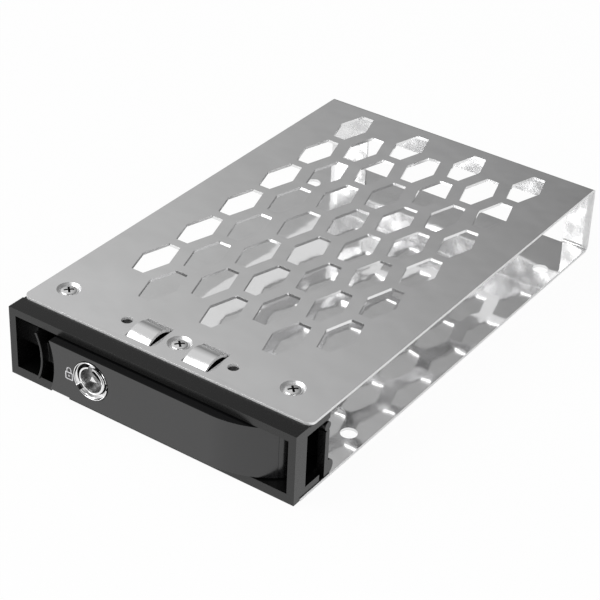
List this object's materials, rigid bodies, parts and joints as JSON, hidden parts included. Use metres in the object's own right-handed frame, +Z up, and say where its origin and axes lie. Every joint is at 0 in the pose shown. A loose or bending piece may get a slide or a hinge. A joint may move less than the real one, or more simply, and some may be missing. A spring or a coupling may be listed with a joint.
{
  "type": "hot swap drive caddy",
  "caption": "Folded sheet cradle for a small drive, vented on top and open at both sides, with a dark bezel, hinged lever and key lock.",
  "frame": {"origin": "centre of the cradle's underside, midway between its sides and between the top plate's front edge and the back wall", "axes": "+X to the right seen from the front, +Y from the lever to the back wall, +Z up through the vented plate"},
  "size_m": [0.07, 0.1179, 0.0176],
  "materials": {
    "sheet": "satin",
    "moulding": "satin",
    "lever": "satin",
    "chrome": "polished",
    "screw": "bright"
  },
  "bodies": {
    "caddy": {"drive_cradle": "sheet", "front_bezel": "moulding", "lever_hinge_pin": "screw", "top_screw_left": "screw", "top_screw_middle": "screw", "top_screw_right": "screw", "bottom_screw_left": "screw", "bottom_screw_middle": "screw", "bottom_screw_right": "screw"},
    "lever": {"handle_lever": "lever", "lock_housing": "chrome", "lock_nut": "chrome", "latch_spring": "screw"},
    "latch": {"release_latch": "moulding"},
    "key_plug": {"lock_plug": "chrome", "lock_washer": "chrome", "lock_cam": "screw", "cam_screw": "screw", "key_shutter": "chrome", "lock_wafer_1": "screw", "lock_wafer_2": "screw", "lock_wafer_3": "screw", "lock_wafer_4": "screw"}
  },
  "joints": [
    {"name": "lever_hinge", "type": "hinge", "parent": "caddy", "child": "lever", "pos_m": [0.0276, -0.0538, 0.008], "axis": [0, 0, 1], "range_deg": [0, 70]},
    {"name": "latch_slide", "type": "slide", "parent": "lever", "child": "latch", "axis": [1, 0, 0], "range_m": [0, 0.0016], "stiffness_N_per_m": 200, "deforming": ["latch_spring"]},
    {"name": "key_turn", "type": "hinge", "parent": "lever", "child": "key_plug", "pos_m": [-0.0121, -0.0555, 0.0089], "axis": [0, 1, 0], "range_deg": [0, 90]}
  ]
}
